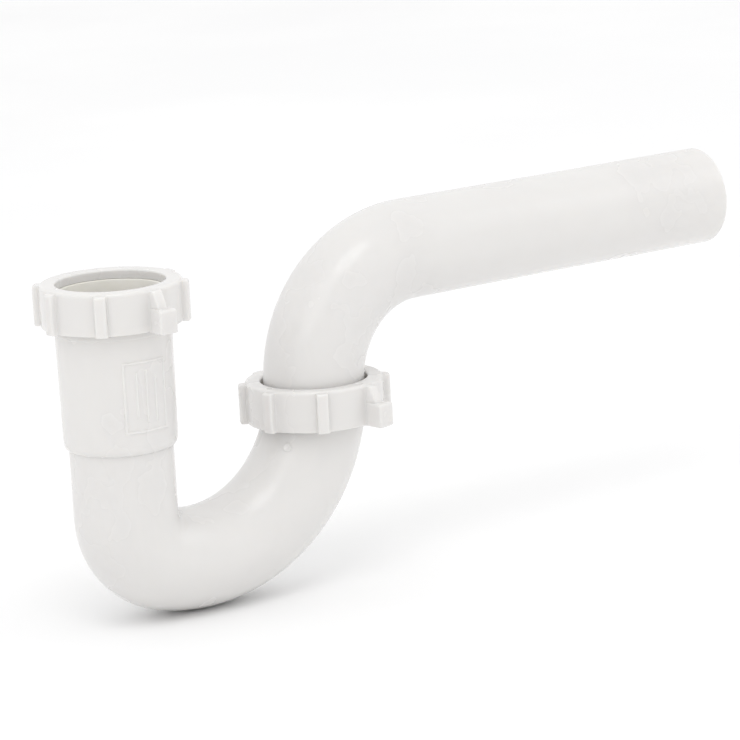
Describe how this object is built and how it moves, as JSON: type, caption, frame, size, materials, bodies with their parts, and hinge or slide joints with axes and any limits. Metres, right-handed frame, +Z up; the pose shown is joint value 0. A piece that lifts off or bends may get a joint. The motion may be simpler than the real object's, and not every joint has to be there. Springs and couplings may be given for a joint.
{
  "type": "p trap",
  "caption": "Slip-joint P trap in white plastic: J-shaped bend with a sleeve inlet, winged slip nuts with bevelled washers, and a long trap arm with an elbow.",
  "frame": {"origin": "on the inlet's axis, at the ledge at the foot of the inlet socket, where the tailpiece ends", "axes": "+Z up the inlet's axis; +X from the inlet towards the outlet and along the trap arm to the wall; the bend and the arm lie in the XZ plane"},
  "size_m": [0.3031, 0.07, 0.1413],
  "materials": {
    "white_moulding": "glossy white moulding with a faint mould texture",
    "nut_plastic": "satin-gloss white moulding",
    "washer_plastic": "soft translucent ivory plastic"
  },
  "bodies": {
    "bend": {"trap_bend": "white_moulding"},
    "inlet_seal": {"inlet_washer": "washer_plastic"},
    "inlet_nut": {"inlet_nut": "nut_plastic"},
    "outlet_seal": {"outlet_washer": "washer_plastic"},
    "outlet_nut": {"outlet_nut": "nut_plastic"},
    "arm": {"trap_arm": "white_moulding"}
  },
  "joints": [
    {"name": "inlet_washer_slide", "type": "slide", "parent": "bend", "child": "inlet_seal", "axis": [0, 0, 1], "range_m": [0, 0.00884]},
    {"name": "inlet_nut_turn", "type": "hinge", "parent": "inlet_seal", "child": "inlet_nut", "pos_m": [0, 0, 0.0519], "axis": [0, 0, 1], "range_deg": [0, 1440]},
    {"name": "outlet_washer_slide", "type": "slide", "parent": "bend", "child": "outlet_seal", "axis": [0, 0, 1], "range_m": [0, 0.00442]},
    {"name": "outlet_nut_turn", "type": "hinge", "parent": "outlet_seal", "child": "outlet_nut", "pos_m": [0.086, 0, 0.0008], "axis": [0, 0, 1], "range_deg": [0, 720]},
    {"name": "arm_swivel", "type": "hinge", "parent": "bend", "child": "arm", "pos_m": [0.086, 0, 0.005], "axis": [0, 0, 1], "range_deg": [-135, 135]}
  ],
  "couplings": [
    {"joint": "inlet_washer_slide", "follows": "inlet_nut_turn", "m_per_rad": 0.00035157},
    {"joint": "outlet_washer_slide", "follows": "outlet_nut_turn", "m_per_rad": 0.00035157}
  ]
}
